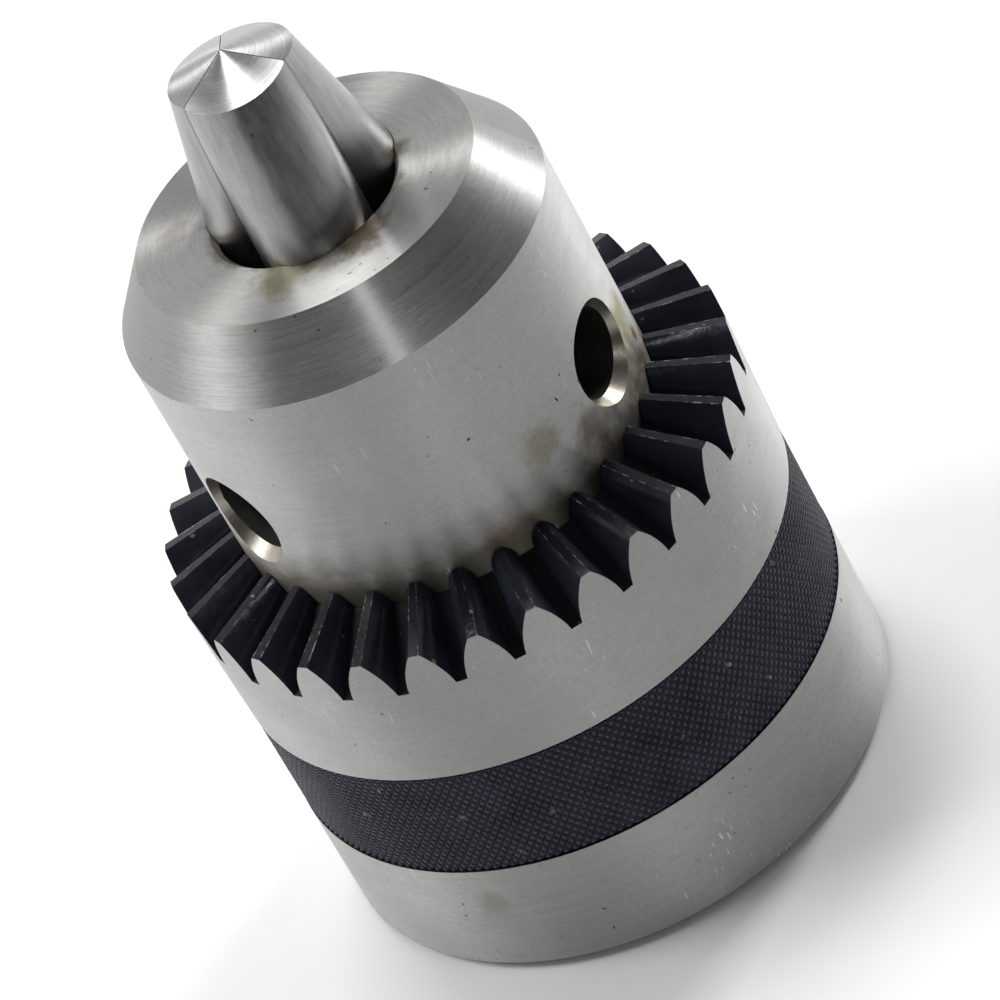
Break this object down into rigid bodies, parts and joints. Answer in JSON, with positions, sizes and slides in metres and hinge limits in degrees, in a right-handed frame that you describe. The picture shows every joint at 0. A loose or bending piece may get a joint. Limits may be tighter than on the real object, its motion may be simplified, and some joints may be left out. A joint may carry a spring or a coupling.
{
  "type": "drill chuck",
  "caption": "Keyed drill chuck: three inclined jaws driven by a split nut inside a toothed, knurled sleeve on a tapered-socket body.",
  "frame": {"origin": "centre of the body's rear face, which is the lowest plane of the object", "axes": "+Z along the spindle axis towards the jaw tips; -Y towards jaw 1"},
  "size_m": [0.0538, 0.0537, 0.0854],
  "materials": {
    "ground_steel": "ground and turned steel, satin",
    "ground_steel_sleeve": "ground steel sleeve with black oxide teeth and knurled band",
    "jaw_steel": "fine ground hardened steel",
    "nut_steel": "oiled turned steel",
    "bearing_steel": "polished hardened steel",
    "cage_steel": "pressed sheet steel"
  },
  "bodies": {
    "chuck_body": {"body": "ground_steel", "lower_race": "bearing_steel"},
    "sleeve_assembly": {"sleeve": "ground_steel_sleeve", "nut_half_1": "nut_steel", "nut_half_2": "nut_steel", "upper_race": "bearing_steel"},
    "ball_ring": {"ball_cage": "cage_steel", "ball_01": "bearing_steel", "ball_02": "bearing_steel", "ball_03": "bearing_steel", "ball_04": "bearing_steel", "ball_05": "bearing_steel", "ball_06": "bearing_steel", "ball_07": "bearing_steel", "ball_08": "bearing_steel", "ball_09": "bearing_steel", "ball_10": "bearing_steel", "ball_11": "bearing_steel", "ball_12": "bearing_steel", "ball_13": "bearing_steel", "ball_14": "bearing_steel", "ball_15": "bearing_steel", "ball_16": "bearing_steel", "ball_17": "bearing_steel", "ball_18": "bearing_steel", "ball_19": "bearing_steel", "ball_20": "bearing_steel", "ball_21": "bearing_steel", "ball_22": "bearing_steel", "ball_23": "bearing_steel", "ball_24": "bearing_steel"},
    "jaw_1": {"jaw_1": "jaw_steel"},
    "jaw_2": {"jaw_2": "jaw_steel"},
    "jaw_3": {"jaw_3": "jaw_steel"}
  },
  "joints": [
    {"name": "sleeve_turn", "type": "hinge", "parent": "chuck_body", "child": "sleeve_assembly", "pos_m": [0, 0, 0], "axis": [0, 0, 1], "range_deg": [0, 4873.3]},
    {"name": "ball_ring_turn", "type": "hinge", "parent": "chuck_body", "child": "ball_ring", "pos_m": [0, 0, 0], "axis": [0, 0, 1], "range_deg": [0, 2437.6]},
    {"name": "jaw_1_slide", "type": "slide", "parent": "chuck_body", "child": "jaw_1", "axis": [0, -0.2334, -0.9724], "range_m": [0, 0.02784]},
    {"name": "jaw_2_slide", "type": "slide", "parent": "chuck_body", "child": "jaw_2", "axis": [0.2022, 0.1167, -0.9724], "range_m": [0, 0.0279]},
    {"name": "jaw_3_slide", "type": "slide", "parent": "chuck_body", "child": "jaw_3", "axis": [-0.2022, 0.1167, -0.9724], "range_m": [0, 0.0279]}
  ],
  "couplings": [
    {"joint": "sleeve_turn", "follows": "jaw_1_slide", "rad_per_m": 3054.8},
    {"joint": "ball_ring_turn", "follows": "jaw_1_slide", "rad_per_m": 1527.4},
    {"joint": "jaw_2_slide", "follows": "jaw_1_slide", "ratio": 1},
    {"joint": "jaw_3_slide", "follows": "jaw_1_slide", "ratio": 1}
  ]
}
